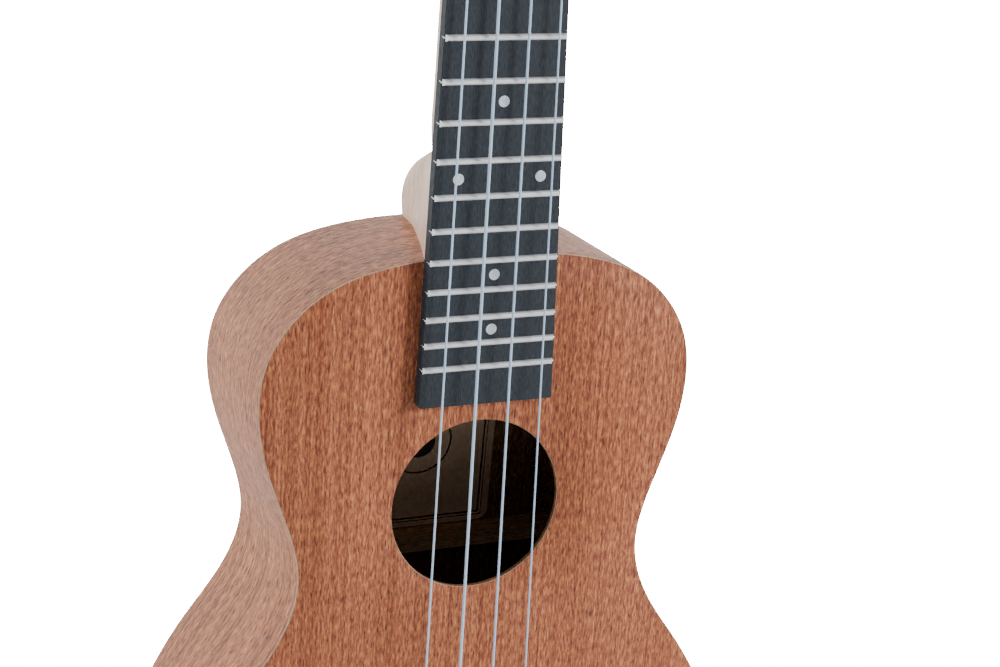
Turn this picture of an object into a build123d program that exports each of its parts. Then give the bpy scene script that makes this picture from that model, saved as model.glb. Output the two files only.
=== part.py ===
"""Concert ukulele, built as an assembly of separate pieces, in millimetres.

Frame: +Z runs up the neck to the headstock, +X to the treble side and -Y out of the soundboard.
The origin is on the centreline at the front edge of the nut, in the plane where the fretboard meets
the neck, which is also the outer plane of the soundboard.
"""

from build123d import *

import os
from math import asin, atan2, cos, hypot, pi, radians, sin, sqrt

# ---- strings and scale, listed from the bass side ----
SCALE_LENGTH = 380.0
STRINGS = ["g", "c", "e", "a"]
STRING_DIAMETER = {"g": 0.70, "c": 1.00, "e": 0.82, "a": 0.62}
NUT_X = {"g": -12.7, "c": -3.35, "e": 6.35, "a": 15.4}
SADDLE_X = {"g": -18.7, "c": -6.4, "e": 5.7, "a": 17.9}
NUT_STRING_HEIGHT = 5.3
SADDLE_TOP = 8.6

# ---- fretboard and nut ----
FRET_COUNT = 18
BOARD_LENGTH = 258.3
BOARD_THICKNESS = 3.8
NUT_WIDTH = 34.5
BOARD_TAPER = 0.045
BOARD_EDGE_CHAMFER = 0.3
CROWN_WIDTH = 2.0
CROWN_HEIGHT = 1.0
CROWN_BEVEL = 35.0
CROWN_END_GAP = 0.4
TANG_WIDTH = 0.56
TANG_DEPTH = 1.7
MARKER_RADIUS = 1.8
MARKER_DEPTH = 1.2
MARKER_SHIFT = 0.35
SINGLE_MARKERS = [5, 7, 10, 15, 17]
DOUBLE_MARKER = 12
DOUBLE_MARKER_X = 13.8
NUT_LENGTH = 4.6
NUT_HEIGHT = 5.2

# ---- body ----
BODY_TOP = -209.7
BODY_LENGTH = 279.0
BODY_TAIL = BODY_TOP - BODY_LENGTH
PLATE = 1.8
SIDE = 1.8
DEPTH_AT_NECK = 53.5
DEPTH_MAX = 68.7
DEEPEST_Z = -417.0
SOUNDHOLE_Z = -294.6
SOUNDHOLE_RADIUS = 29.2
# Half of the outline: distance from the centreline, and distance below the top of the body.
OUTLINE = [
    (0, 0),
    (20, 0.7),
    (36.1, 3.1),
    (51.5, 8.4),
    (64.4, 18.4),
    (72.6, 32.3),
    (74.6, 45.6),
    (71.1, 67.2),
    (64.3, 86.5),
    (60.4, 105.5),
    (65.4, 123.8),
    (78.7, 143.7),
    (92.6, 168),
    (101, 203),
    (87, 247),
    (48, 273.5),
    (0, BODY_LENGTH),
]
INSET_POINTS = 60
LINING_WIDTH = 5.0
LINING_HEIGHT = 10.0
KERF_PITCH = 6.0
KERF_WIDTH = 1.0
KERF_DEPTH = 3.6
BRACE_WIDTH = 6.0
BRACE_HEIGHT = 8.6
BLOCK_HALF_WIDTH = 27.0
NECK_BLOCK_LENGTH = 18.0
TAIL_BLOCK_LENGTH = 15.0
LABEL_WIDTH = 65.0
LABEL_BOTTOM = -329.0
LABEL_HEIGHT = 64.0
LABEL_CORNER = 4.0
LABEL_THICKNESS = 0.2

# ---- neck and headstock ----
NECK_DEPTH_NUT = 14.0
NECK_DEPTH_HEEL = 15.0
STRAIGHT_NECK = [-10, -45, -80, -115, -145, -160]
HEAD_ANGLE = 13.0
HEAD_LENGTH = 108.0
HEAD_BLOCK_START = 15.0
HEAD_THICKNESS = 12.0
VENEER = 1.2
# A cross-section's width shares and depth shares, from its front corner to its back.
ROUND_BACK = [(0.975, 0.2), (0.87, 0.5), (0.58, 0.82), (0.3, 0.95)]
DEEP_BACK = [(0.755, 0.28), (0.6, 0.46), (0.48, 0.7), (0.455, 0.88)]
# Sections down the heel: height, depth and how far the shape has gone from round back to deep back.
HEEL_SECTIONS = [
    (-168, 15.3, 0),
    (-173, 17.7, 0.12),
    (-178, 23.8, 0.4),
    (-183, 33.6, 0.7),
    (-189, 47.0, 0.9),
    (-196, 57.0, 1),
    (-205, 61.0, 1),
    (-214, 61.5, 1),
]
# Sections where the neck turns into the headstock: distance up the face, half width, depth.
HEAD_SECTIONS = [
    (3, 17.8, 13.6, [(0.98, 0.22), (0.9, 0.55), (0.66, 0.86), (0.34, 0.97)]),
    (9, 20.1, 12.4, [(0.99, 0.25), (0.96, 0.62), (0.8, 0.91), (0.45, 0.99)]),
    (16, 23.9, 12.0, [(0.995, 0.25), (0.985, 0.65), (0.91, 0.94), (0.5, 0.995)]),
]
# Places of the tuning posts on the headstock's face: across, and up from the nut.
POSTS = {"g": (-19.5, 35.0), "c": (-20.5, 73.0), "e": (20.5, 73.0), "a": (19.5, 35.0)}

# ---- bridge and saddle ----
BRIDGE_FRONT = -373.5
BRIDGE_BACK = -397.5
BRIDGE_HEIGHT = 6.4
BRIDGE_PROFILE = [(27.5, BRIDGE_HEIGHT), (29.6, 4.7), (33.5, 3.4), (41.0, 2.6)]
SADDLE_Z = -(SCALE_LENGTH + 1.4)
SADDLE_THICKNESS = 2.5
SADDLE_HALF_LENGTH = 24.0
SADDLE_BOTTOM = 3.2
KNOT_HEIGHT = 3.4
KNOT_Z = -394.4
KNOT_POCKET_RADIUS = 2.2

# ---- tuning machines, in the headstock's own frame ----
GEAR_TEETH = 14
GEAR_PITCH_RADIUS = 5.0
GEAR_OUTER_RADIUS = 5.6
GEAR_ROOT_RADIUS = 4.2
GEAR_THICKNESS = 3.6
GEAR_LEVEL = -16.2
WORM_PITCH_RADIUS = 2.2
WORM_OUTER_RADIUS = 2.8
WORM_ROOT_RADIUS = 1.4
WORM_TURNS = 4
WORM_PITCH = 2 * pi * GEAR_PITCH_RADIUS / GEAR_TEETH
THREAD_TIP = 0.6
THREAD_BASE = 1.0
TUNER_CENTRES = GEAR_PITCH_RADIUS + WORM_PITCH_RADIUS
SHAFT_RADIUS = 1.5
POST_RADIUS = 3.0
WAIST_RADIUS = 2.5
WAIST_BOTTOM = 3.4
WAIST_TOP = 9.6
POST_TOP = 13.5
POST_BOSS = 3.0
STRING_HOLE_RADIUS = 0.75
GAP = 0.05
BUSH_RADIUS = 4.2
BUSH_FLANGE_RADIUS = 5.6
BUSH_FLANGE = 1.0
BUSH_DEPTH = 6.0
SHEET = 1.0
SHEET_BACK = -HEAD_THICKNESS - SHEET
SHEET_WIDTH = 14.8
SHEET_LENGTH = 28.2
SHEET_MIDDLE = 2.5
EAR_INSIDE = 6.0
EAR_HALF_WIDTH = 3.0
SCREW_V = [-8.4, 13.4]
SCREW_RADIUS = 0.9
SCREW_LENGTH = 7.0
GEAR_SCREW_RADIUS = 1.0
BUTTON_START = 12.4
BUTTON_HALF = (7.0, 7.6, 4.6)
BUTTON_FLAT = 3.7
WRAP_ANGLE = 205.0
COIL_TURNS = {"g": 3, "c": 2, "e": 3, "a": 4}

HEAD_UP = (0, sin(radians(HEAD_ANGLE)), cos(radians(HEAD_ANGLE)))
HEAD_OUT = (0, -cos(radians(HEAD_ANGLE)), sin(radians(HEAD_ANGLE)))
HEAD = Plane(origin=(0, 0, NUT_LENGTH), x_dir=(1, 0, 0), z_dir=HEAD_OUT)
FRONT = Plane(origin=(0, 0, 0), x_dir=(1, 0, 0), z_dir=(0, -1, 0))


def save(shape, name):
    """Writes one sub-part, as one solid or as a group of separate solids."""
    solids = shape.solids()
    export_step(solids[0] if len(solids) == 1 else Compound(solids), f"parts/{name}.step")
    print(name, len(solids))


def block(x, y, z):
    """A box given by its low and high limits along each axis."""
    size = Box(x[1] - x[0], y[1] - y[0], z[1] - z[0])
    return Pos((x[0] + x[1]) / 2, (y[0] + y[1]) / 2, (z[0] + z[1]) / 2) * size


def group(shapes):
    return Compound([solid for shape in shapes for solid in shape.solids()])


def mirrored(points):
    """The same points on the other side of the centreline, in reverse order."""
    return [(-x, y) for x, y in reversed(points)]


def board_half_width(z):
    return (NUT_WIDTH - BOARD_TAPER * z) / 2


def fret_z(number):
    return -SCALE_LENGTH * (1 - 2 ** (-number / 12))


# ---- body ----


def outline(inset=0):
    """The body's outline in the soundboard's plane, taken in by inset."""
    right = [(x, BODY_TOP - down) for x, down in OUTLINE]
    curve = Spline(right + mirrored(right)[1:-1], periodic=True)
    if inset:
        points = []
        for number in range(INSET_POINTS):
            at = curve.position_at(number / INSET_POINTS)
            along = curve.tangent_at(number / INSET_POINTS)
            points.append((at.X + along.Y * inset, at.Y - along.X * inset))
        curve = Spline(points, periodic=True)
    return (FRONT.location * make_face(curve)).face()


def prism(inset):
    """The body's outline, taken in by inset, as a block deeper than the body."""
    return extrude(outline(inset), amount=DEPTH_MAX + 10, dir=(0, 1, 0))


def back_radius():
    """Radius of the back's lengthwise arch."""
    run = BODY_TOP - DEEPEST_Z
    rise = DEPTH_MAX - DEPTH_AT_NECK
    return (run**2 + rise**2) / (2 * rise)


def depth_at(z):
    """Depth from the soundboard's outer plane to the back's outer surface."""
    radius = back_radius()
    return DEPTH_MAX - radius + sqrt(radius**2 - (z - DEEPEST_Z) ** 2)


def arch(inset):
    """Everything in front of the back's outer surface, taken in by inset."""
    radius = back_radius()
    drum = Cylinder(radius - inset, 400, rotation=(0, 90, 0))
    return Pos(0, DEPTH_MAX - radius, DEEPEST_Z) * drum


def behind(y):
    """All the room behind y that the body could fill."""
    return block((-150, 150), (y, 120), (BODY_TAIL - 10, BODY_TOP + 10))


def ring_pattern():
    """The linings' plan: a band inside the rim, sawn across at even steps and clear of the blocks."""
    core = outline(SIDE + LINING_WIDTH)
    inside = core.outer_wire()
    count = int(inside.length / KERF_PITCH)
    band = Sketch() + outline(SIDE) - core
    for z, length in ((BODY_TOP, NECK_BLOCK_LENGTH), (BODY_TAIL, TAIL_BLOCK_LENGTH)):
        place = Plane(origin=(0, 0, z), x_dir=(1, 0, 0), z_dir=(0, -1, 0))
        band -= place * Rectangle(2 * BLOCK_HALF_WIDTH, 2 * length)
    for number in range(count):
        share = (number + 0.5) / count
        place = Plane(origin=inside.position_at(share), x_dir=inside.tangent_at(share), z_dir=(0, -1, 0))
        band -= place * Rectangle(KERF_WIDTH, 2 * KERF_DEPTH)
    return band


def build_shell():
    """Soundboard, back, sides, end blocks and linings."""
    outer = prism(0)
    inner = prism(SIDE)
    cavity = inner & arch(PLATE) & behind(PLATE)

    soundboard = outer & block((-150, 150), (0, PLATE), (BODY_TAIL - 10, BODY_TOP + 10))
    soundboard -= Pos(0, 0, SOUNDHOLE_Z) * Cylinder(SOUNDHOLE_RADIUS, 20, rotation=(90, 0, 0))
    save(soundboard, "soundboard")
    save(outer & (arch(0) - arch(PLATE)) & behind(30), "back_plate")

    rim = (outer - inner) & arch(PLATE) & behind(PLATE)
    save(rim & block((-150, 0), (0, 120), (BODY_TAIL - 10, BODY_TOP + 10)), "side_bass")
    save(rim & block((0, 150), (0, 120), (BODY_TAIL - 10, BODY_TOP + 10)), "side_treble")

    width = (-BLOCK_HALF_WIDTH, BLOCK_HALF_WIDTH)
    neck_end = block(width, (0, 120), (BODY_TOP - NECK_BLOCK_LENGTH, BODY_TOP + 5))
    tail_end = block(width, (0, 120), (BODY_TAIL - 5, BODY_TAIL + TAIL_BLOCK_LENGTH))
    save(cavity & neck_end, "neck_block")
    save(cavity & tail_end, "tail_block")

    band = extrude(ring_pattern(), amount=DEPTH_MAX + 10, dir=(0, 1, 0))
    save(band & (behind(PLATE) - behind(PLATE + LINING_HEIGHT)), "top_linings")
    save(band & (arch(PLATE) - arch(PLATE + LINING_HEIGHT)) & behind(30), "back_linings")


def brace(half_length, z, outside, inside):
    """A brace across the body from z up, between two depths, with its ends run out to tips."""
    tip = outside + 0.3 * (inside - outside)
    run_out = 20
    points = [
        (half_length, outside),
        (half_length, tip),
        (half_length - run_out, inside),
    ]
    points += mirrored(points)
    return Pos(0, 0, z) * extrude(make_face(Polyline(*points, close=True)), amount=BRACE_WIDTH)


def build_bracing():
    """Everything glued to the insides of the soundboard and of the back."""
    room = prism(SIDE + LINING_WIDTH)
    for name, z in (("upper", -251), ("lower", -339)):
        bar = brace(90, z, PLATE, PLATE + BRACE_HEIGHT) & room
        save(bar, f"soundboard_brace_{name}")

    patch = block((-46, 46), (PLATE, PLATE + 2), (-402, -370))
    clear = block((-46.1, 46.1), (0, 60), (-402.1, -369.9))
    clear += block((-150, 150), (0, 60), (-339.1, -200))
    fans = []
    for lean in (-1, 0, 1):
        stick = block((-2.5, 2.5), (PLATE, PLATE + 5), (-132, 0))
        stick = Pos(22 * lean, 0, -339) * Rot(0, 8 * lean, 0) * stick
        fans.append((stick & room) - clear)
    save(group(fans), "fan_braces")
    save(patch, "bridge_plate")

    for name, z in (("upper", -262), ("middle", -335.4), ("lower", -412)):
        floor = depth_at(z + BRACE_WIDTH / 2) - PLATE
        bar = brace(97, z, floor + 3, floor - BRACE_HEIGHT)
        save(bar & arch(PLATE) & room, f"back_brace_{name}")

    with BuildSketch(FRONT) as sketch:
        with Locations((0, LABEL_BOTTOM + LABEL_HEIGHT / 2)):
            RectangleRounded(LABEL_WIDTH, LABEL_HEIGHT, LABEL_CORNER)
    paper = extrude(sketch.sketch, amount=100, dir=(0, 1, 0))
    paper &= behind(30)
    save(paper & (arch(PLATE) - arch(PLATE + LABEL_THICKNESS)), "label")


# ---- neck ----


def section(plane, half_width, depth, shares):
    """A cross-section of the neck: flat in front, with shares of the width further back."""
    corner = [(half_width, 0)]
    side = [(half_width * across, depth * down) for across, down in shares]
    points = corner + side + [(0, depth)] + mirrored(side) + mirrored(corner)
    with BuildSketch(plane) as sketch:
        with BuildLine():
            Spline(points)
            Line(points[-1], points[0])
        make_face()
    return sketch.sketch.face()


def neck_section(z, depth, shares):
    return section(Plane.XY.offset(z), board_half_width(z), depth, shares)


def head_section(v, half_width, depth, shares):
    plane = Plane(origin=HEAD.from_local_coords((0, v, 0)), x_dir=(1, 0, 0), z_dir=HEAD_UP)
    return section(plane, half_width, depth, shares)


def on_head(shape):
    """Moves a shape from the headstock's frame, where +Z is out of its face."""
    return HEAD.location * shape


def head_outline():
    """The headstock's outline in its own frame: flared sides under a low crown."""
    side = [(17.3, -4), (17.7, 2), (20.6, 10), (25.2, 18), (28.4, 28), (29.8, 42), (31.0, 70), (32.4, 93)]
    crown = [(32.4, 93), (31.4, 98.8), (26.0, 103.2), (13.5, 106.8), (0, HEAD_LENGTH)]
    with BuildSketch() as sketch:
        with BuildLine():
            Spline(side)
            Spline(crown + mirrored(crown)[1:])
            Spline(mirrored(side))
            Line((-side[0][0], side[0][1]), side[0])
        make_face()
    return sketch.sketch.face()


def build_neck():
    """The neck with its heel and headstock, drilled for the tuning machines."""
    sections = [head_section(*row) for row in reversed(HEAD_SECTIONS)]
    for z in STRAIGHT_NECK:
        share = z / STRAIGHT_NECK[-1]
        depth = NECK_DEPTH_NUT + (NECK_DEPTH_HEEL - NECK_DEPTH_NUT) * share
        sections.append(neck_section(z, depth, ROUND_BACK))
    for z, depth, share in HEEL_SECTIONS:
        pairs = zip(ROUND_BACK, DEEP_BACK)
        shares = [(x + (to_x - x) * share, y + (to_y - y) * share) for (x, y), (to_x, to_y) in pairs]
        sections.append(neck_section(z, depth, shares))
    beyond_back = block((-60, 60), (0, 120), (-260, -185)) - arch(0)
    neck = loft(sections) - beyond_back - prism(0)
    head = extrude(head_outline(), amount=-HEAD_THICKNESS)
    head &= Pos(0, HEAD_BLOCK_START + 100, 0) * Box(200, 200, 60)
    front = Pos(0, 100, 50) * Box(200, 200, 100)
    neck += on_head(head)
    neck -= on_head(front)
    neck &= block((-100, 100), (0, 200), (-300, 300))
    for u, v in POSTS.values():
        drill = Pos(u, v, 0) * Cylinder(POST_RADIUS + 0.3, 60)
        drill += Pos(u, v, 0) * Cylinder(BUSH_RADIUS, 2 * BUSH_DEPTH)
        for screw_v in SCREW_V:
            pilot = Cylinder(SCREW_RADIUS, 2 * SCREW_LENGTH)
            drill += Pos(u, v + screw_v, -HEAD_THICKNESS) * pilot
        neck -= on_head(drill)
    save(neck, "neck")

    veneer = extrude(head_outline(), amount=VENEER) & (Pos(0, 100, 0) * Box(200, 200, 20))
    for u, v in POSTS.values():
        veneer -= Pos(u, v, 0) * Cylinder(BUSH_RADIUS, 10)
    save(on_head(veneer), "headstock_veneer")


# ---- fretboard ----


def marker_places():
    """Centres of the inlaid dots: one between most marked frets, two at the octave."""
    places = []
    for number in SINGLE_MARKERS + [DOUBLE_MARKER]:
        z = (fret_z(number) + fret_z(number - 1)) / 2
        if number == DOUBLE_MARKER:
            places += [(-DOUBLE_MARKER_X, z), (DOUBLE_MARKER_X, z)]
        else:
            places.append((0, z))
    return places


def fret(z):
    """One fret: a domed crown with bevelled ends, over a tang that fills its slot."""
    half_width = board_half_width(z)
    surface = -BOARD_THICKNESS
    half = CROWN_WIDTH / 2
    with BuildSketch(Plane.YZ) as sketch:
        with BuildLine():
            ThreePointArc((surface, half), (surface - CROWN_HEIGHT, 0), (surface, -half))
            Line((surface, -half), (surface, half))
        make_face()
    crown = extrude(sketch.sketch.face(), amount=half_width, both=True)
    for side in (-1, 1):
        bevel = Rot(0, 0, -side * CROWN_BEVEL) * Pos(side * 5, 0, 0) * Box(10, 20, 10)
        crown -= Pos(side * (half_width - CROWN_END_GAP), surface, 0) * bevel
    reach = (-half_width, half_width)
    tang = block(reach, (surface, surface + TANG_DEPTH), (-TANG_WIDTH / 2, TANG_WIDTH / 2))
    return Pos(0, 0, z) * (crown + tang)


def build_fretboard():
    """Fretboard, frets, dots and nut blank."""
    end = -BOARD_LENGTH
    corners = [(board_half_width(0), 0), (board_half_width(end), end)]
    face = make_face(FRONT.location * Polyline(*(corners + mirrored(corners)), close=True))
    board = extrude(face, amount=BOARD_THICKNESS, dir=(0, -1, 0))
    top_edges = board.faces().sort_by(Axis.Y)[0].edges()
    long_edges = [edge for edge in top_edges if edge.length > BOARD_LENGTH / 2]
    board = chamfer(long_edges, BOARD_EDGE_CHAMFER)
    round_ends = [edge for edge in board.edges() if edge.center().Z < end + 0.5]
    upright = [edge for edge in round_ends if abs(edge.tangent_at(0.5).Y) > 0.9]
    board = fillet(upright, 0.8)

    frets = [fret(fret_z(number)) for number in range(1, FRET_COUNT + 1)]
    dots = []
    for x, z in marker_places():
        dot = Cylinder(MARKER_RADIUS, MARKER_DEPTH, rotation=(90, 0, 0))
        dots.append(Pos(x + MARKER_SHIFT, -BOARD_THICKNESS + MARKER_DEPTH / 2, z) * dot)
    for piece in frets + dots:
        board -= piece
    save(board, "fretboard")
    save(group(frets), "frets")
    save(group(dots), "fret_markers")


# ---- strings, nut, bridge ----


def string_run(name):
    """One string's centreline: round its post, over nut and saddle, to its knot in the bridge."""
    radius = STRING_DIAMETER[name] / 2
    nut = Vector(NUT_X[name], -NUT_STRING_HEIGHT, 0)
    saddle = Vector(SADDLE_X[name], -(SADDLE_TOP + radius), SADDLE_Z)
    leave = nut + (nut - saddle) * ((NUT_LENGTH + 0.4) / -SADDLE_Z)
    start = HEAD.to_local_coords(leave)
    u, v = POSTS[name]
    side = 1 if u > 0 else -1
    wrap = WAIST_RADIUS + GAP + radius
    reach = hypot(u - start.X, v - start.Y)
    heading = atan2(v - start.Y, u - start.X) + side * asin(wrap / reach)
    run = sqrt(reach**2 - wrap**2)
    touch = (start.X + run * cos(heading), start.Y + run * sin(heading))
    angle = atan2(touch[1] - v, touch[0] - u)

    def on_wrap(turn):
        at = angle - side * radians(turn)
        local = (u + wrap * cos(at), v + wrap * sin(at), start.Z)
        return HEAD.from_local_coords(local)

    knot = Vector(SADDLE_X[name], -KNOT_HEIGHT, KNOT_Z)
    edges = [
        Edge.make_three_point_arc(on_wrap(WRAP_ANGLE), on_wrap(WRAP_ANGLE / 2), on_wrap(0)),
        Edge.make_line(on_wrap(0), leave),
        Edge.make_line(leave, saddle),
        Edge.make_line(saddle, knot),
    ]
    return Wire(edges)


def string_solid(name):
    """The string itself, with the knot that holds it in the bridge."""
    radius = STRING_DIAMETER[name] / 2
    run = string_run(name)
    ring = Plane(origin=run @ 0, z_dir=run % 0) * Circle(radius)
    string = sweep(ring, path=run, transition=Transition.ROUND)
    knot = Pos(SADDLE_X[name], -KNOT_HEIGHT, KNOT_Z - 0.6)
    return string + knot * Torus(0.95, 0.8) + knot * Sphere(0.9)


def string_level(name):
    """How far above the headstock's face the string comes to its post."""
    run = string_run(name)
    return HEAD.to_local_coords(run @ 0).Z


def build_bridge(strings):
    """Nut, bridge and saddle, each cut to take the strings."""
    nut = block((-NUT_WIDTH / 2, NUT_WIDTH / 2), (-NUT_HEIGHT, 0), (0, NUT_LENGTH))
    top = nut.faces().sort_by(Axis.Y)[0]
    back_edge = top.edges().sort_by(Axis.Z)[-1]
    nut = fillet(back_edge, 1.6)
    save(nut - strings, "nut")

    right = [(x, -height) for x, height in BRIDGE_PROFILE]
    with BuildSketch(Plane.XY.offset(BRIDGE_BACK)) as sketch:
        with BuildLine():
            Line((-right[0][0], right[0][1]), right[0])
            Spline(right)
            Line(right[-1], (right[-1][0], 0))
            Line((right[-1][0], 0), (-right[-1][0], 0))
            Line((-right[-1][0], 0), (-right[-1][0], right[-1][1]))
            Spline(mirrored(right))
        make_face()
    bridge = extrude(sketch.sketch.face(), amount=BRIDGE_FRONT - BRIDGE_BACK, dir=(0, 0, 1))
    ends = [edge for edge in bridge.edges() if abs(edge.tangent_at(0.5).Y) > 0.9]
    bridge = fillet(ends, 2.2)
    bridge -= Pos(0, -BRIDGE_HEIGHT, BRIDGE_FRONT) * Rot(45, 0, 0) * Box(100, 2.2, 2.2)
    bridge -= Pos(0, -BRIDGE_HEIGHT, BRIDGE_BACK) * Rot(45, 0, 0) * Box(100, 1.6, 1.6)
    half = SADDLE_THICKNESS / 2
    seat = (SADDLE_Z - half, SADDLE_Z + half)
    reach = (-SADDLE_HALF_LENGTH, SADDLE_HALF_LENGTH)
    bridge -= block(reach, (-10, -SADDLE_BOTTOM), seat)
    for name in STRINGS:
        x = SADDLE_X[name]
        slot = STRING_DIAMETER[name] / 2 + 0.2
        bridge -= block((x - slot, x + slot), (-10, -KNOT_HEIGHT + slot), (-400, -385.6))
        bridge -= Pos(x, -KNOT_HEIGHT, KNOT_Z - 10) * Cylinder(KNOT_POCKET_RADIUS, 20.4)
    save(bridge, "bridge")

    saddle = block(reach, (-(SADDLE_TOP + 0.1), -SADDLE_BOTTOM), seat)
    crest = [edge for edge in saddle.faces().sort_by(Axis.Y)[0].edges() if edge.length > 10]
    saddle = fillet(crest, half - 0.1)
    save(saddle - strings, "saddle")


# ---- tuning machines ----


def gear_face():
    """The gear's cross-section: straight-sided teeth, with a gap facing the worm."""
    pitch = 2 * pi / GEAR_TEETH
    corners = [
        (-0.62, GEAR_ROOT_RADIUS),
        (-0.25, GEAR_OUTER_RADIUS),
        (0.25, GEAR_OUTER_RADIUS),
        (0.62, GEAR_ROOT_RADIUS),
    ]
    points = []
    for tooth in range(GEAR_TEETH):
        turn = -(tooth + 0.5) * pitch
        for across, out in corners:
            x = across * cos(turn) - out * sin(turn)
            y = across * sin(turn) + out * cos(turn)
            points.append((x, y))
    return make_face(Polyline(*points, close=True)).face()


def worm_face():
    """The worm's cross-section: one broad lobe, which becomes the thread when it is twisted."""
    tip = pi * THREAD_TIP / WORM_PITCH
    base = pi * THREAD_BASE / WORM_PITCH
    middle = (tip + base) / 2
    half_way = (WORM_ROOT_RADIUS + WORM_OUTER_RADIUS) / 2

    def at(angle, radius):
        return (radius * cos(pi + angle), radius * sin(pi + angle))

    with BuildSketch() as sketch:
        with BuildLine():
            Spline([at(-base, WORM_ROOT_RADIUS), at(-middle, half_way), at(-tip, WORM_OUTER_RADIUS)])
            ThreePointArc(at(-tip, WORM_OUTER_RADIUS), at(0, WORM_OUTER_RADIUS), at(tip, WORM_OUTER_RADIUS))
            Spline([at(tip, WORM_OUTER_RADIUS), at(middle, half_way), at(base, WORM_ROOT_RADIUS)])
            ThreePointArc(at(base, WORM_ROOT_RADIUS), at(pi, WORM_ROOT_RADIUS), at(-base, WORM_ROOT_RADIUS))
        make_face()
    return sketch.sketch.face()


def along_shaft(start, length, radius):
    """A cylinder on the worm's axis, from start outwards."""
    centre = Pos(start + length / 2, TUNER_CENTRES, GEAR_LEVEL)
    return centre * Cylinder(radius, length, rotation=(0, 90, 0))


def twisted(face, height, angle):
    """A face pulled straight along +Z while it turns by angle."""
    return Solid.extrude_linear_with_rotation(face, (0, 0, 0), (0, 0, height), angle)


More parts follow.
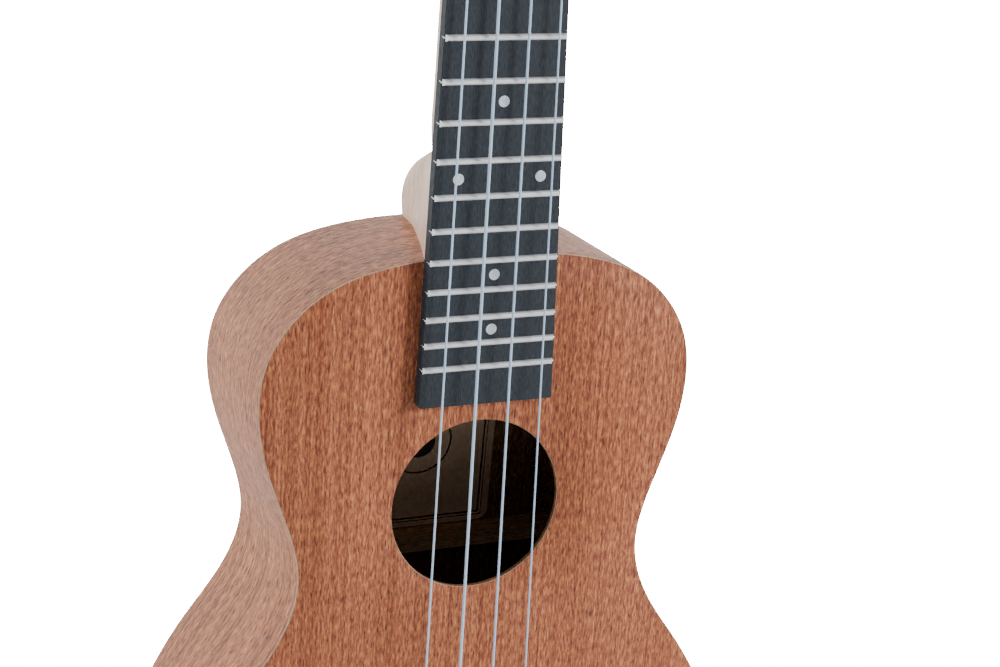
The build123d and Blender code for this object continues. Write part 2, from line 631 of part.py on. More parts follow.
def tuner_pieces(name):
    """One tuning machine for the treble side, about its post: +X outwards, +Z out of the face."""
    pieces = {}
    sheet = Pos(0, SHEET_MIDDLE, 0) * extrude(RectangleRounded(SHEET_WIDTH, SHEET_LENGTH, 2.4), amount=SHEET)
    plate = Pos(0, 0, SHEET_BACK) * sheet
    for side in (-1, 1):
        drop = SHEET_BACK - GEAR_LEVEL
        ear = Pos(0, TUNER_CENTRES, GEAR_LEVEL + drop / 2) * Box(1.2, 2 * EAR_HALF_WIDTH, drop)
        ear += Pos(0, TUNER_CENTRES, GEAR_LEVEL) * Cylinder(EAR_HALF_WIDTH, 1.2, rotation=(0, 90, 0))
        plate += Pos(side * (EAR_INSIDE + 0.6), 0, 0) * ear
    plate -= along_shaft(-10, 20, SHAFT_RADIUS + GAP)
    plate -= Pos(0, 0, SHEET_BACK) * Cylinder(POST_RADIUS + GAP, 10)
    for v in SCREW_V:
        plate -= Pos(0, v, SHEET_BACK) * Cylinder(SCREW_RADIUS, 10)
    pieces["plate"] = plate

    pitch_angle = WORM_PITCH / (2 * pi * WORM_PITCH_RADIUS) / GEAR_PITCH_RADIUS
    twist = pitch_angle * GEAR_THICKNESS * 180 / pi
    gear = Rot(0, 0, -twist / 2) * twisted(gear_face(), GEAR_THICKNESS, twist)
    gear_bottom = GEAR_LEVEL - GEAR_THICKNESS / 2
    gear_top = GEAR_LEVEL + GEAR_THICKNESS / 2
    gear = Pos(0, 0, gear_bottom) * gear
    pieces["gear"] = gear - Pos(0, 0, GEAR_LEVEL) * Box(POST_BOSS, POST_BOSS, 10)

    profile = [
        (0, gear_top),
        (POST_RADIUS, gear_top),
        (POST_RADIUS, WAIST_BOTTOM - 0.5),
        (WAIST_RADIUS, WAIST_BOTTOM),
        (WAIST_RADIUS, WAIST_TOP),
        (POST_RADIUS, WAIST_TOP + 0.6),
        (POST_RADIUS, POST_TOP - 0.8),
        (POST_RADIUS - 0.9, POST_TOP),
        (0, POST_TOP),
    ]
    post = revolve(make_face(Plane.XZ.location * Polyline(*profile, close=True)), axis=Axis.Z)
    post += Pos(0, 0, GEAR_LEVEL) * Box(POST_BOSS, POST_BOSS, GEAR_THICKNESS)
    post -= Pos(0, 0, gear_bottom) * Cylinder(GEAR_SCREW_RADIUS, 10)
    level = string_level(name)
    diameter = STRING_DIAMETER[name]
    coil_start = level + diameter + 0.06
    coil_height = COIL_TURNS[name] * (diameter + 0.03)
    hole_level = coil_start + coil_height
    post -= Pos(0, 0, hole_level) * Cylinder(STRING_HOLE_RADIUS, 10, rotation=(0, 90, 0))
    pieces["post"] = post

    turns = []
    for turn in range(COIL_TURNS[name]):
        ring = Torus(WAIST_RADIUS + diameter / 2, diameter / 2)
        turns.append(Pos(0, 0, coil_start + turn * (diameter + 0.03)) * ring)
    tail = 2 * WAIST_RADIUS + diameter + 1.6
    tail_rod = Cylinder(diameter / 2, tail, rotation=(0, 90, 0))
    tail_rod = Pos(WAIST_RADIUS + diameter - tail / 2, 0, hole_level) * tail_rod
    pieces["winding"] = group(turns + [tail_rod])

    head = Pos(0, 0, gear_bottom - 0.6) * Cylinder(2.1, 1.2)
    head = chamfer(head.edges().sort_by(Axis.Z)[0], 0.35)
    head -= Pos(0, 0, gear_bottom - 1.2) * Box(6, 0.5, 1.0)
    shank = Pos(0, 0, gear_bottom + 2.5) * Cylinder(GEAR_SCREW_RADIUS, 5)
    pieces["gear_screw"] = head + shank

    length = WORM_TURNS * WORM_PITCH
    worm = twisted(worm_face(), length, 360 * WORM_TURNS)
    across = Plane(origin=(-length / 2, TUNER_CENTRES, GEAR_LEVEL), x_dir=(0, 1, 0), z_dir=(1, 0, 0))
    worm = across.location * worm
    collar_end = EAR_INSIDE - 0.1
    worm += along_shaft(-collar_end, collar_end - length / 2, 2.2)
    worm += along_shaft(length / 2, collar_end - length / 2, 2.2)
    worm += along_shaft(-EAR_INSIDE - 1.9, 2.5, SHAFT_RADIUS)
    worm += along_shaft(collar_end - 0.5, BUTTON_START + 8 - collar_end + 0.5, SHAFT_RADIUS)
    pieces["worm"] = worm

    half_u, half_v, half_w = BUTTON_HALF
    body = scale(Sphere(1), by=BUTTON_HALF)
    body &= Box(2 * half_u, 2 * half_v, 2 * BUTTON_FLAT)
    body = Pos(BUTTON_START + half_u, TUNER_CENTRES, GEAR_LEVEL) * body
    button = body + along_shaft(BUTTON_START - 0.8, 3.0, 2.3)
    button -= along_shaft(BUTTON_START - 2, 10, SHAFT_RADIUS)
    pieces["button"] = button
    return pieces


def build_tuners():
    """The four tuning machines, with their bushings and screws."""
    bushings = []
    screws = []
    for name in STRINGS:
        u, v = POSTS[name]
        for kind, piece in tuner_pieces(name).items():
            if u < 0:
                piece = mirror(piece, Plane.YZ)
            node = f"winding_{name}" if kind == "winding" else f"tuner_{kind}_{name}"
            save(on_head(Pos(u, v, 0) * piece), node)
        bush = Pos(0, 0, VENEER + BUSH_FLANGE / 2) * Cylinder(BUSH_FLANGE_RADIUS, BUSH_FLANGE)
        bush = chamfer(bush.edges().sort_by(Axis.Z)[-1], 0.4)
        depth = BUSH_DEPTH + VENEER
        bush += Pos(0, 0, VENEER - depth / 2) * Cylinder(BUSH_RADIUS, depth)
        bush -= Cylinder(POST_RADIUS + GAP, 40)
        bushings.append(on_head(Pos(u, v, 0) * bush))
        for screw_v in SCREW_V:
            head = Pos(0, 0, -0.5) * Cone(1.2, 2.0, 1.0)
            head -= Pos(0, 0, -1.0) * Box(6, 0.45, 1.0)
            length = SCREW_LENGTH + SHEET
            shank = Pos(0, 0, length / 2) * Cylinder(SCREW_RADIUS, length)
            screw = Pos(u, v + screw_v, SHEET_BACK) * (head + shank)
            screws.append(on_head(screw))
    save(group(bushings), "post_bushings")
    save(group(screws), "plate_screws")


os.makedirs("parts", exist_ok=True)
build_shell()
build_bracing()
build_neck()
build_fretboard()
all_strings = [string_solid(name) for name in STRINGS]
for string_name, solid in zip(STRINGS, all_strings):
    save(solid, f"string_{string_name}")
build_bridge(group(all_strings))
build_tuners()
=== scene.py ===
"""Looks for the concert ukulele: camera, light, wood, metal and the finer shapes, in metres."""

import math

import bmesh
import bpy
from mathutils import Matrix, Vector


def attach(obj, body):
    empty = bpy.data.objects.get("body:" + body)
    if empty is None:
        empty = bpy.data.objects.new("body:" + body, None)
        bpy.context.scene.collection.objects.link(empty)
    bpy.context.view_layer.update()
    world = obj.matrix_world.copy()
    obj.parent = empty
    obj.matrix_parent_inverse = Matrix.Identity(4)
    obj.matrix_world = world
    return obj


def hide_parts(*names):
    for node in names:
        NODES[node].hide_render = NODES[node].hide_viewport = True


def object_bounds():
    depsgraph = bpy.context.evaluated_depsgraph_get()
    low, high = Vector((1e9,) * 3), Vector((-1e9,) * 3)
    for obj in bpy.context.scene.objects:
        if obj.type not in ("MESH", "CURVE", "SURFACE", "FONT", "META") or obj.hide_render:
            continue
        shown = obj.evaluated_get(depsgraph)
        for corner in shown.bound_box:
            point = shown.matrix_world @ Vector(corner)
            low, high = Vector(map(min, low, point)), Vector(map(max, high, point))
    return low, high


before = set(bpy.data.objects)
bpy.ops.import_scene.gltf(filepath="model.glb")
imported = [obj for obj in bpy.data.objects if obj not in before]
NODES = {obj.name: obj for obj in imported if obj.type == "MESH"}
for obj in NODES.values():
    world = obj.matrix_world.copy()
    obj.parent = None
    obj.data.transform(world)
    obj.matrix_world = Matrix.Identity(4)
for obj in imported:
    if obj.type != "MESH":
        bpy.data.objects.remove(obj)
START_LOW, START_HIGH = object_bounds()

# ---- camera ----
CAMERA_TARGET = Vector((0.00514, 0.0, -0.23644))
CAMERA_DISTANCE = 0.6577
CAMERA_AZIMUTH = 24.08
CAMERA_ELEVATION = 17.47
CAMERA_ROLL = 3.335
CAMERA_LENS = 74.15

# ---- body ----
BOARD_SIDE = 0.0018
DEPTH_AT_NECK = 0.0535
DEPTH_MAX = 0.0687
DEEPEST_Z = -0.417
BODY_TOP = -0.2097
BODY_TAIL = -0.4887
SOUNDHOLE_Z = -0.2946
SOUNDHOLE_RADIUS = 0.0292
EDGE_ROUND = 0.0004
BODY_CENTRE = Vector((0, -0.32))

# ---- fineness of the rebuilt pieces ----
RIM_POINTS = 320
RIM_CURVE_STEPS = 8
HOLE_POINTS = 128
SIDE_ROWS = 6
SHARP_EDGE = math.radians(38)

# ---- label ----
LABEL_Z = -0.297
LABEL_BORDERS = ((0.0283, 0.029), (0.0297, 0.03))
RING_CENTRE = (0.004, 0, -0.296)
RING_BANDS = ((0.0115, 0.0122), (0.0, 0.006))

# ---- wood grain, in waves per metre across and along the fibres ----
RIBBON_WAVES = (60, 0.9)
LINE_WAVES = (640, 3)
DASH_WAVES = (1450, 290)
PORE_WAVES = (1500, 240)
RIPPLE_WAVES = (150, 90, 150)

# ---- surroundings ----
FLOOR_SIZE = 6
FLOOR_GAP = 0.001
WHITE_TO_CAMERA = 40.0
FLOOR_GLOW = 0.1
WORLD_GLOW = 0.17


# ---------------------------------------------------------------- shader helpers


def add(tree, kind, inputs=None, **settings):
    """Adds one shader node. An input is a constant or another node's output."""
    made = tree.nodes.new("ShaderNode" + kind)
    for key, value in settings.items():
        setattr(made, key, value)
    for key, value in (inputs or {}).items():
        if isinstance(value, bpy.types.NodeSocket):
            tree.links.new(value, made.inputs[key])
        else:
            made.inputs[key].default_value = value
    return made


def new_material(name, **inputs):
    """A material with one Principled shader, and its tree and shader."""
    material = bpy.data.materials.new(name)
    material.use_nodes = True
    tree = material.node_tree
    shader = tree.nodes["Principled BSDF"]
    for key, value in inputs.items():
        shader.inputs[key.replace("_", " ")].default_value = value
    return material, tree, shader


def place(tree, stretch, source="Object"):
    """Texture coordinates in metres, stretched to waves per metre."""
    coords = add(tree, "TexCoord").outputs[source]
    return add(tree, "VectorMath", {0: coords, 1: stretch}, operation="MULTIPLY").outputs[0]


def noise(tree, vector, detail=2.0, roughness=0.5, distortion=0.0):
    """Noise from 0 to 1 over coordinates that are already scaled."""
    inputs = {
        "Vector": vector,
        "Scale": 1.0,
        "Detail": detail,
        "Roughness": roughness,
        "Distortion": distortion,
    }
    return add(tree, "TexNoise", inputs).outputs["Fac"]


def ramp(tree, factor, stops):
    """A colour ramp from (position, colour) stops; a number stands for a grey."""
    made = add(tree, "ValToRGB", {"Fac": factor})
    elements = made.color_ramp.elements
    while len(elements) < len(stops):
        elements.new(0.5)
    for element, (position, colour) in zip(elements, stops):
        element.position = position
        grey = isinstance(colour, (int, float))
        element.color = (colour, colour, colour, 1) if grey else (*colour, 1)
    return made.outputs["Color"]


def mix(tree, factor, first, second, blend="MIX"):
    """Blends two colours or greys."""
    made = add(tree, "Mix", data_type="RGBA", blend_type=blend, clamp_factor=True)
    for socket, value in ((0, factor), (6, first), (7, second)):
        if isinstance(value, bpy.types.NodeSocket):
            tree.links.new(value, made.inputs[socket])
        elif socket == 0:
            made.inputs[0].default_value = value
        else:
            grey = isinstance(value, (int, float))
            made.inputs[socket].default_value = (value,) * 3 + (1,) if grey else (*value, 1)
    return made.outputs[2]


def bump(tree, shader, height, strength, distance):
    """Roughens a surface by a height from 0 to 1, with the distance in metres."""
    inputs = {"Height": height, "Strength": strength, "Distance": distance}
    made = add(tree, "Bump", inputs)
    tree.links.new(made.outputs["Normal"], shader.inputs["Normal"])


def wood(name, dark, middle, light, source="Object", along=2, roughness=0.45, specular=0.25,
         contrast=1.0, figure=0.0, seed=0.0):
    """Straight-grained wood: broad ribbons, long grain lines, and short pores between pale fibres.

    along is the axis the grain follows, figure the depth of a soft ripple, and seed sets one
    piece of wood apart from the next.
    """
    material, tree, shader = new_material(name)
    shader.inputs["Specular IOR Level"].default_value = specular

    def grain(waves, detail, rough, shift):
        cross, run = waves
        stretch = [cross, cross, cross]
        stretch[along] = run
        vector = place(tree, stretch, source)
        moved = add(tree, "VectorMath", {0: vector, 1: (seed + shift, shift, seed)}, operation="ADD")
        return noise(tree, moved.outputs[0], detail, rough)

    ribbons = grain(RIBBON_WAVES, 2.0, 0.6, 0.0)
    lines = grain(LINE_WAVES, 3.0, 0.65, 7.0)
    dashes = grain(DASH_WAVES, 2.0, 0.65, 5.0)
    pores = grain(PORE_WAVES, 1.0, 0.5, 11.0)
    fibres = ramp(tree, dashes, [(0.33, dark), (0.5, middle), (0.67, light)])
    plain = mix(tree, contrast, middle, fibres)
    long_lines = ramp(tree, lines, [(0.36, (0.55, 0.48, 0.5)), (0.58, (1.0, 1.0, 1.0))])
    colour = mix(tree, 0.85 * contrast, plain, long_lines, "MULTIPLY")
    shades = [(0.36, (0.8, 0.74, 0.72)), (0.5, (0.94, 0.93, 0.95)), (0.64, (1.0, 1.0, 1.0))]
    bands = ramp(tree, ribbons, shades)
    colour = mix(tree, 0.8, colour, bands, "MULTIPLY")
    if figure:
        ripple = noise(tree, place(tree, RIPPLE_WAVES, source), 2.0)
        shade = ramp(tree, ripple, [(0.35, 1 - figure), (0.65, 1.0)])
        colour = mix(tree, 1.0, colour, shade, "MULTIPLY")
    mask = ramp(tree, pores, [(0.6, 0.0), (0.7, 0.75 * contrast)])
    colour = mix(tree, mask, colour, tuple(part * 0.3 for part in dark))
    tree.links.new(colour, shader.inputs["Base Color"])
    rough_map = ramp(tree, dashes, [(0.3, roughness + 0.12), (0.7, roughness - 0.04)])
    tree.links.new(rough_map, shader.inputs["Roughness"])
    height = mix(tree, mask, ramp(tree, dashes, [(0.3, 0.7), (0.7, 1.0)]), 0.0)
    bump(tree, shader, height, 0.5, 0.00015)
    return material


# ---------------------------------------------------------------- materials

MAHOGANY = dict(dark=(0.24, 0.075, 0.05), middle=(0.46, 0.15, 0.068), light=(0.76, 0.3, 0.12))
SIDE_TONES = dict(dark=(0.34, 0.11, 0.06), middle=(0.66, 0.235, 0.097), light=(0.95, 0.42, 0.175))
top_wood = wood("top_wood", roughness=0.5, specular=0.15, **MAHOGANY)
head_wood = wood("head_wood", roughness=0.45, seed=4.0, **MAHOGANY)
rim_wood = wood("rim_wood", source="UV", along=1, specular=0.4, roughness=0.4, contrast=1.3,
                figure=0.2, seed=2.0, **SIDE_TONES)
back_wood = wood("back_wood", roughness=0.45, seed=9.0, figure=0.1, **MAHOGANY)
inner_wood = wood("inner_wood", roughness=0.8, seed=5.0, dark=(0.12, 0.05, 0.02),
                  middle=(0.26, 0.12, 0.05), light=(0.36, 0.19, 0.09))
inner_rim = wood("inner_rim", source="UV", along=1, roughness=0.8, seed=6.0, figure=0.3,
                 dark=(0.16, 0.07, 0.025), middle=(0.46, 0.24, 0.09), light=(0.64, 0.37, 0.14))
spruce = wood("spruce", roughness=0.7, seed=8.0, along=0, contrast=0.5, dark=(0.42, 0.25, 0.12),
              middle=(0.6, 0.41, 0.21), light=(0.68, 0.48, 0.27))
neck_wood = wood("neck_wood", roughness=0.35, specular=0.5, seed=3.0, contrast=0.45,
                 dark=(0.85, 0.56, 0.4), middle=(0.98, 0.73, 0.55), light=(0.99, 0.8, 0.64))
edge_ply = wood("edge_ply", roughness=0.55, seed=1.0, contrast=0.4, dark=(0.4, 0.26, 0.17),
                middle=(0.6, 0.43, 0.3), light=(0.7, 0.53, 0.39))


def board_material():
    """Blue-black fretboard composite: fine pressed fibres under a dull sheen."""
    material, tree, shader = new_material("board_black")
    shader.inputs["Specular IOR Level"].default_value = 0.3
    fine = noise(tree, place(tree, (2600, 2600, 420)), 3.0, 0.6)
    broad = noise(tree, place(tree, (300, 300, 9)), 2.0)
    colour = ramp(tree, fine, [(0.35, (0.013, 0.018, 0.024)), (0.68, (0.033, 0.043, 0.055))])
    colour = mix(tree, 0.2, colour, ramp(tree, broad, [(0.3, 0.75), (0.7, 1.0)]), "MULTIPLY")
    tree.links.new(colour, shader.inputs["Base Color"])
    tree.links.new(ramp(tree, fine, [(0.3, 0.62), (0.7, 0.45)]), shader.inputs["Roughness"])
    bump(tree, shader, fine, 0.3, 0.00008)
    return material


def metal(name, colour, roughness, scratches=(900, 900, 60), metallic=1.0):
    """Plated metal with faint drawn marks and a slightly uneven polish."""
    material, tree, shader = new_material(name, Metallic=metallic)
    drawn = noise(tree, place(tree, scratches), 3.0)
    cloud = noise(tree, place(tree, (120, 120, 120)), 2.0)
    tint = mix(tree, 0.6, colour, ramp(tree, cloud, [(0.3, 0.82), (0.7, 1.0)]), "MULTIPLY")
    tree.links.new(tint, shader.inputs["Base Color"])
    marks = ramp(tree, drawn, [(0.3, roughness + 0.12), (0.7, roughness)])
    tree.links.new(marks, shader.inputs["Roughness"])
    bump(tree, shader, drawn, 0.12, 0.00003)
    return material


def plastic(name, colour, roughness, subsurface, cloud_depth=0.1):
    """Moulded or cast plastic, bone or nylon with a soft cloudy body."""
    material, tree, shader = new_material(name, Roughness=roughness)
    shader.inputs["Subsurface Weight"].default_value = subsurface
    shader.inputs["Subsurface Radius"].default_value = (0.001, 0.0008, 0.0006)
    cloud = noise(tree, place(tree, (260, 260, 90)), 3.0)
    tint = mix(tree, 1.0, colour, ramp(tree, cloud, [(0.3, 1 - cloud_depth), (0.7, 1.0)]), "MULTIPLY")
    tree.links.new(tint, shader.inputs["Base Color"])
    fine = noise(tree, place(tree, (1800, 1800, 1800)), 2.0)
    uneven = ramp(tree, fine, [(0.3, roughness + 0.08), (0.7, roughness)])
    tree.links.new(uneven, shader.inputs["Roughness"])
    bump(tree, shader, fine, 0.08, 0.00003)
    return material


def band_mask(tree, value, bands):
    """1 where the value lies in any of the (low, high) bands, otherwise 0."""
    mask = None
    for low, high in bands:
        above = add(tree, "Math", {0: value, 1: low}, operation="GREATER_THAN").outputs[0]
        below = add(tree, "Math", {0: value, 1: high}, operation="LESS_THAN").outputs[0]
        band = add(tree, "Math", {0: above, 1: below}, operation="MULTIPLY").outputs[0]
        if mask is not None:
            band = add(tree, "Math", {0: mask, 1: band}, operation="MAXIMUM").outputs[0]
        mask = band
    return mask


def paper_material():
    """Brown parchment with a plain printed border, a ring and a disc, and no writing."""
    material, tree, shader = new_material("label_paper", Roughness=0.85)
    fibres = noise(tree, place(tree, (900, 900, 500)), 4.0, 0.7)
    blotch = noise(tree, place(tree, (60, 60, 60)), 3.0)
    colour = ramp(tree, blotch, [(0.3, (0.68, 0.46, 0.31)), (0.7, (0.83, 0.6, 0.43))])
    colour = mix(tree, 0.5, colour, ramp(tree, fibres, [(0.3, 0.75), (0.7, 1.0)]), "MULTIPLY")

    coords = add(tree, "TexCoord").outputs["Object"]
    split = add(tree, "SeparateXYZ", {0: coords})
    across = add(tree, "Math", {0: split.outputs["X"]}, operation="ABSOLUTE").outputs[0]
    centred = add(tree, "Math", {0: split.outputs["Z"], 1: -LABEL_Z}, operation="ADD").outputs[0]
    upright = add(tree, "Math", {0: centred}, operation="ABSOLUTE").outputs[0]
    square = add(tree, "Math", {0: across, 1: upright}, operation="MAXIMUM").outputs[0]
    flat = add(tree, "VectorMath", {0: coords, 1: (1, 0, 1)}, operation="MULTIPLY").outputs[0]
    spread = add(tree, "VectorMath", {0: flat, 1: RING_CENTRE}, operation="DISTANCE")
    border = band_mask(tree, square, LABEL_BORDERS)
    rings = band_mask(tree, spread.outputs["Value"], RING_BANDS)
    ink = add(tree, "Math", {0: border, 1: rings}, operation="MAXIMUM").outputs[0]

    colour = mix(tree, ink, colour, (0.03, 0.024, 0.02))
    tree.links.new(colour, shader.inputs["Base Color"])
    bump(tree, shader, fibres, 0.2, 0.00005)
    return material


def pearl_material():
    """Pale dot inlay with soft bluish clouds."""
    material, tree, shader = new_material("pearl", Roughness=0.25)
    cloud = noise(tree, place(tree, (700, 700, 700)), 3.0, 0.6, 1.5)
    shades = [(0.3, (0.42, 0.5, 0.56)), (0.5, (0.62, 0.7, 0.75)), (0.7, (0.8, 0.84, 0.86))]
    tint = ramp(tree, cloud, shades)
    tree.links.new(tint, shader.inputs["Base Color"])
    bump(tree, shader, cloud, 0.05, 0.00005)
    return material


board_black = board_material()
fret_metal = metal("fret_metal", (0.93, 0.94, 0.95), 0.28, (60, 900, 900), metallic=0.55)
nickel = metal("nickel", (0.75, 0.74, 0.72), 0.18)
brass = metal("brass", (0.72, 0.55, 0.28), 0.3)
pearl = pearl_material()
bone = plastic("bone", (0.8, 0.76, 0.64), 0.35, 0.2)
nylon = plastic("nylon", (0.58, 0.76, 0.98), 0.25, 0.2)
cream = plastic("cream", (0.82, 0.78, 0.68), 0.25, 0.15)
paper = paper_material()


# ---------------------------------------------------------------- geometry helpers


def new_object(name, mesh, stands_for, materials):
    """Links a mesh as a piece that rides the instrument's body in the place of one CAD node."""
    made = bpy.data.objects.new(name, mesh)
    bpy.context.scene.collection.objects.link(made)
    for material in materials:
        mesh.materials.append(material)
    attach(made, "ukulele")
    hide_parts(stands_for)


def depth_at(z):
    """Depth from the soundboard's outer plane to the back's outer surface."""
    run = BODY_TOP - DEEPEST_Z
    rise = DEPTH_MAX - DEPTH_AT_NECK
    radius = (run**2 + rise**2) / (2 * rise)
    return DEPTH_MAX - radius + math.sqrt(radius**2 - (z - DEEPEST_Z) ** 2)


def rim_outline():
    """The body's outline in the soundboard's plane as evenly spaced points, from the top round."""
    found = set()
    for vertex in NODES["soundboard"].data.vertices:
        spot = Vector((vertex.co.x, vertex.co.z))
        clear = (spot - Vector((0, SOUNDHOLE_Z))).length > SOUNDHOLE_RADIUS + 0.002
        if abs(vertex.co.y) < 1e-5 and clear:
            found.add((round(spot.x, 6), round(spot.y, 6)))
    points = sorted(found, key=lambda p: math.atan2(p[0] - BODY_CENTRE.x, p[1] - BODY_CENTRE.y))
    points = [Vector(p) for p in points]
    top_half = [i for i in range(len(points)) if points[i].y > BODY_CENTRE.y]
    start = min(top_half, key=lambda i: abs(points[i].x))
    points = points[start:] + points[:start]
    return resample(smooth_loop(points, RIM_CURVE_STEPS), RIM_POINTS)


def smooth_loop(points, steps):
    """A closed Catmull-Rom curve through the points."""
    curve = []
    count = len(points)
    for i in range(count):
        a, b, c, d = (points[(i + k) % count] for k in (-1, 0, 1, 2))
        for step in range(steps):
            t = step / steps
            spot = 0.5 * (
                2 * b + (c - a) * t + (2 * a - 5 * b + 4 * c - d) * t**2 + (3 * b - a - 3 * c + d) * t**3
            )
            curve.append(spot)
    return curve


def resample(points, count):
    """The same closed curve as count points at even steps along it."""
    lengths = [0.0]
    for i in range(len(points)):
        lengths.append(lengths[-1] + (points[(i + 1) % len(points)] - points[i]).length)
    evened = []
    i = 0
    for k in range(count):
        goal = lengths[-1] * k / count
        while lengths[i + 1] < goal:
            i += 1
        share = (goal - lengths[i]) / max(lengths[i + 1] - lengths[i], 1e-12)
        evened.append(points[i].lerp(points[(i + 1) % len(points)], share))
    return evened


RIM = rim_outline()


def inset_rim(amount):
    """The outline moved inwards, square to itself."""
    count = len(RIM)
    moved = []
    for i in range(count):
        along = (RIM[(i + 1) % count] - RIM[i - 1]).normalized()
        moved.append(RIM[i] + Vector((along.y, -along.x)) * amount)
    return moved


def loop_of(bm, points, depth):
    """Vertices for one closed loop; depth is a number or a function of height."""
    return [bm.verts.new((p.x, depth(p.y) if callable(depth) else depth, p.y)) for p in points]


def skin(bm, first, second, material=0):
    """Quads between two loops of the same length. Any UV map gets depth and length in metres."""
    grain = bm.loops.layers.uv.get("grain")
    count = len(first)
    run = 0.0
    for i in range(count):
        j = (i + 1) % count
        face = bm.faces.new((first[i], first[j], second[j], second[i]))
        face.material_index = material
        face.smooth = True
        step = (first[j].co - first[i].co).length
        if grain:
            for corner, along in zip(face.loops, (run, run + step, run + step, run)):
                corner[grain].uv = (corner.vert.co.y, along)
        run += step


def close_flat(bm, outside, inside, material):
    """Fills a flat ring between two loops, or a flat disc when there is no inner loop."""
    edges = []
    for loop in (outside, inside):
        for i in range(len(loop)):
            pair = (loop[i], loop[(i + 1) % len(loop)])
            edges.append(bm.edges.get(pair) or bm.edges.new(pair))
    filled = bmesh.ops.triangle_fill(bm, edges=edges, use_beauty=True)
    for face in filled["geom"]:
        if isinstance(face, bmesh.types.BMFace):
            face.material_index = material


def finish_mesh(bm, name):
    """Turns a BMesh into a mesh with outward normals and crisp corners."""
    bmesh.ops.recalc_face_normals(bm, faces=bm.faces)
    mesh = bpy.data.meshes.new(name)
    bm.to_mesh(mesh)
    bm.free()
    mesh.set_sharp_from_angle(angle=SHARP_EDGE)
    return mesh


def circle_points(radius):
    """The soundhole's edge, or a circle a little larger, as points."""
    steps = [2 * math.pi * i / HOLE_POINTS for i in range(HOLE_POINTS)]
    return [Vector((radius * math.sin(a), SOUNDHOLE_Z + radius * math.cos(a))) for a in steps]


# ---------------------------------------------------------------- body pieces


def build_soundboard():
    """Soundboard with softened edges at its rim and at the soundhole."""
    bm = bmesh.new()
    bm.loops.layers.uv.new("grain")
    corner = EDGE_ROUND * 0.4
    profile = [(0.0, BOARD_SIDE), (0.0, EDGE_ROUND), (corner, corner), (EDGE_ROUND, 0.0)]
    rims = [loop_of(bm, inset_rim(inset), depth) for inset, depth in profile]
    holes = [loop_of(bm, circle_points(SOUNDHOLE_RADIUS + inset), depth) for inset, depth in profile]
    for loops, bands in ((rims, (3, 1, 1)), (holes, (2, 1, 0))):
        for first, second, band in zip(loops, loops[1:], bands):
            skin(bm, first, second, band)
    close_flat(bm, rims[-1], holes[-1], 0)
    close_flat(bm, rims[0], holes[0], 2)
    mesh = finish_mesh(bm, "soundboard_skin")
    materials = (top_wood, edge_ply, inner_wood, rim_wood)
    new_object("soundboard_skin", mesh, "soundboard", materials)


def build_back():
    """Arched back plate, flat across and bowed lengthwise, with a softened edge."""
    bm = bmesh.new()
    bm.loops.layers.uv.new("grain")

    corner = 0.00015
    loops = [
        loop_of(bm, inset_rim(0), lambda z: depth_at(z) - BOARD_SIDE),
        loop_of(bm, inset_rim(0), lambda z: depth_at(z) - EDGE_ROUND),
        loop_of(bm, inset_rim(corner), lambda z: depth_at(z) - corner),
        loop_of(bm, inset_rim(EDGE_ROUND), depth_at),
    ]
    for row, (first, second) in enumerate(zip(loops, loops[1:])):
        skin(bm, first, second, 1 if row else 3)
    for loop, material in ((loops[0], 2), (loops[-1], 0)):
        for i in range(len(loop) // 2):
            corners = [loop[-i], loop[i], loop[i + 1], loop[-i - 1]]
            corners = [v for k, v in enumerate(corners) if v not in corners[:k]]
            if len(corners) > 2:
                face = bm.faces.new(corners)
                face.material_index = material
                face.smooth = True
    mesh = finish_mesh(bm, "back_skin")
    materials = (back_wood, edge_ply, inner_wood, rim_wood)
    new_object("back_skin", mesh, "back_plate", materials)


def build_side(name, first, last):
    """One bent side, whose grain runs round the rim. Its UV map is depth and length in metres."""
    bm = bmesh.new()
    uv = bm.loops.layers.uv.new("grain")
    outer, inner = inset_rim(0), inset_rim(BOARD_SIDE)
    columns = []
    length = 0.0
    for i in range(first, last + 1):
        k = i % RIM_POINTS
        if columns:
            length += (outer[k] - outer[(i - 1) % RIM_POINTS]).length
        column = []
        for points in (outer, inner):
            spot = points[k]
            deep = depth_at(spot.y) - BOARD_SIDE
            rows = [BOARD_SIDE + (deep - BOARD_SIDE) * r / SIDE_ROWS for r in range(SIDE_ROWS + 1)]
            column.append([bm.verts.new((spot.x, y, spot.y)) for y in rows])
        columns.append((length, column))
    for (start, before), (end, after) in zip(columns, columns[1:]):
        for layer in (0, 1):
            left, right = before[layer], after[layer]
            for row in range(SIDE_ROWS):
                face = bm.faces.new((left[row], right[row], right[row + 1], left[row + 1]))
                face.material_index = layer
                face.smooth = True
                for corner, along in zip(face.loops, (start, end, end, start)):
                    corner[uv].uv = (corner.vert.co.y, along)
        for row in (0, SIDE_ROWS):
            edge = (before[0][row], after[0][row], after[1][row], before[1][row])
            bm.faces.new(edge).material_index = 1
    for outside, inside in (columns[0][1], columns[-1][1]):
        for row in range(SIDE_ROWS):
            end_face = (outside[row], outside[row + 1], inside[row + 1], inside[row])
            bm.faces.new(end_face).material_index = 1
    mesh = finish_mesh(bm, name + "_skin")
    new_object(name + "_skin", mesh, name, (rim_wood, inner_rim))


build_soundboard()
build_back()
build_side("side_treble", 0, RIM_POINTS // 2)
build_side("side_bass", RIM_POINTS // 2, RIM_POINTS)


# ---------------------------------------------------------------- materials on the CAD pieces

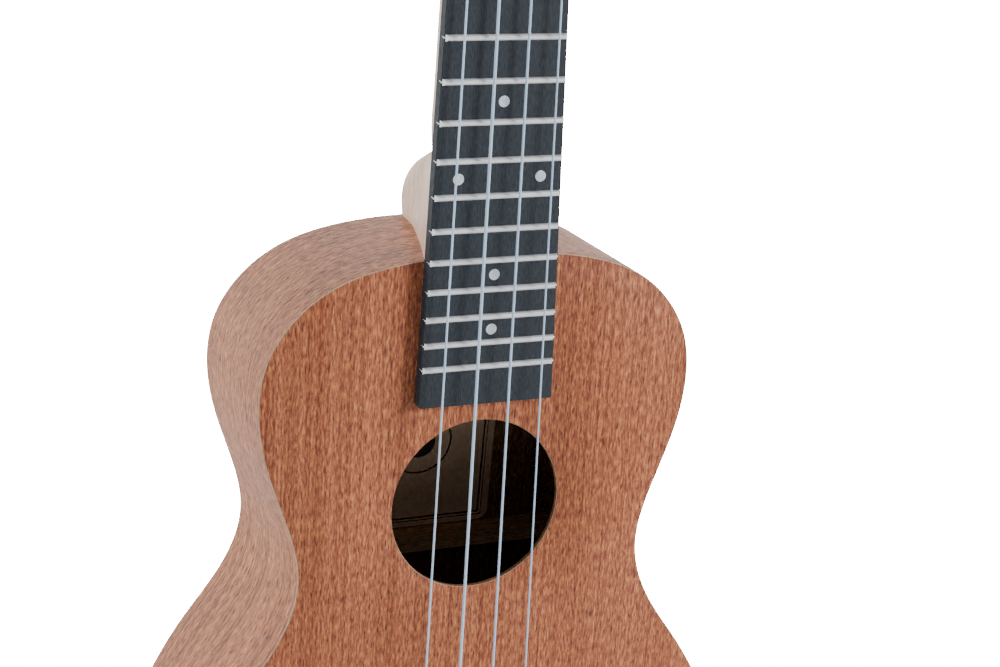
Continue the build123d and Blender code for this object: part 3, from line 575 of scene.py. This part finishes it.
FINISHES = {
    "neck": neck_wood,
    "headstock_veneer": head_wood,
    "fretboard": board_black,
    "frets": fret_metal,
    "fret_markers": pearl,
    "nut": bone,
    "saddle": bone,
    "bridge": board_black,
    "label": paper,
    "neck_block": inner_wood,
    "tail_block": inner_wood,
    "post_bushings": nickel,
    "plate_screws": nickel,
}
PREFIXES = {
    "string_": nylon,
    "winding_": nylon,
    "tuner_plate": nickel,
    "tuner_post": nickel,
    "tuner_gear_screw": nickel,
    "tuner_gear_": brass,
    "tuner_worm": nickel,
    "tuner_button": cream,
    "back_brace": spruce,
    "soundboard_brace": spruce,
    "fan_braces": spruce,
    "bridge_plate": inner_wood,
    "top_linings": inner_wood,
    "back_linings": inner_wood,
}


def finish_of(name):
    """The material for a CAD node, by its own name or by the start of it."""
    if name in FINISHES:
        return FINISHES[name]
    starts = [start for start in PREFIXES if name.startswith(start)]
    return PREFIXES[starts[0]] if starts else None


for node_name, node in NODES.items():
    finish = finish_of(node_name)
    if finish:
        node.data.materials.clear()
        node.data.materials.append(finish)


# ---------------------------------------------------------------- floor, light and camera


def build_floor():
    """Plain pale floor under the tail."""
    bm = bmesh.new()
    bmesh.ops.create_grid(bm, x_segments=1, y_segments=1, size=FLOOR_SIZE)
    mesh = finish_mesh(bm, "floor")
    floor = bpy.data.objects.new("floor", mesh)
    floor.location.z = START_LOW.z - FLOOR_GAP
    bpy.context.scene.collection.objects.link(floor)
    material, tree, shader = new_material("floor_white", Roughness=0.9)
    shader.inputs["Base Color"].default_value = (0.9, 0.9, 0.9, 1)
    shader.inputs["Emission Color"].default_value = (1, 1, 1, 1)
    seen = add(tree, "LightPath").outputs["Is Camera Ray"]
    glow = add(tree, "MapRange", {"Value": seen, "To Min": FLOOR_GLOW, "To Max": WHITE_TO_CAMERA})
    tree.links.new(glow.outputs[0], shader.inputs["Emission Strength"])
    mesh.materials.append(material)


def area_light(name, place_at, aim, size, power, colour=(1, 1, 1)):
    """A soft rectangular lamp aimed at a point."""
    data = bpy.data.lights.new(name, "AREA")
    data.shape = "RECTANGLE"
    data.size, data.size_y = size
    data.energy = power
    data.color = colour
    made = bpy.data.objects.new(name, data)
    made.location = place_at
    made.rotation_mode = "QUATERNION"
    made.rotation_quaternion = (Vector(aim) - Vector(place_at)).to_track_quat("-Z", "Y")
    bpy.context.scene.collection.objects.link(made)


def build_world():
    """White surroundings: soft light on the object, and a brighter white behind it."""
    world = bpy.data.worlds.new("studio")
    bpy.context.scene.world = world
    world.use_nodes = True
    tree = world.node_tree
    background = tree.nodes["Background"]
    background.inputs["Color"].default_value = (1, 1, 1, 1)
    seen = add(tree, "LightPath").outputs["Is Camera Ray"]
    strength = add(tree, "MapRange", {"Value": seen, "To Min": WORLD_GLOW, "To Max": WHITE_TO_CAMERA})
    tree.links.new(strength.outputs[0], background.inputs["Strength"])


def build_camera():
    """Long-lens camera in front of the upper body, a little above it and slightly rolled."""
    azimuth, elevation = math.radians(CAMERA_AZIMUTH), math.radians(CAMERA_ELEVATION)
    back = Vector((-math.sin(azimuth) * math.cos(elevation), -math.cos(azimuth) * math.cos(elevation),
                   math.sin(elevation)))
    right = Vector((0, 0, 1)).cross(back).normalized()
    up = back.cross(right)
    roll = math.radians(CAMERA_ROLL)
    tilted_right = right * math.cos(roll) + up * math.sin(roll)
    tilted_up = up * math.cos(roll) - right * math.sin(roll)
    axes = Matrix((tilted_right, tilted_up, back)).transposed()
    data = bpy.data.cameras.new("camera")
    data.lens = CAMERA_LENS
    data.sensor_width = 36.0
    data.clip_start, data.clip_end = 0.01, 50
    camera = bpy.data.objects.new("camera", data)
    camera.matrix_world = Matrix.Translation(CAMERA_TARGET + back * CAMERA_DISTANCE) @ axes.to_4x4()
    bpy.context.scene.collection.objects.link(camera)
    bpy.context.scene.camera = camera


build_floor()
build_world()
build_camera()
area_light("key", (1.85, -1.35, 0.5), (0, 0, -0.28), (0.62, 0.62), 66)
area_light("left_fill", (-1.35, 0.1, 0.3), (0, 0, -0.3), (0.9, 1.2), 17, (0.98, 0.99, 1.0))
area_light("backdrop", (0, 1.6, -0.1), (0, 0, -0.3), (3.2, 3.0), 45)
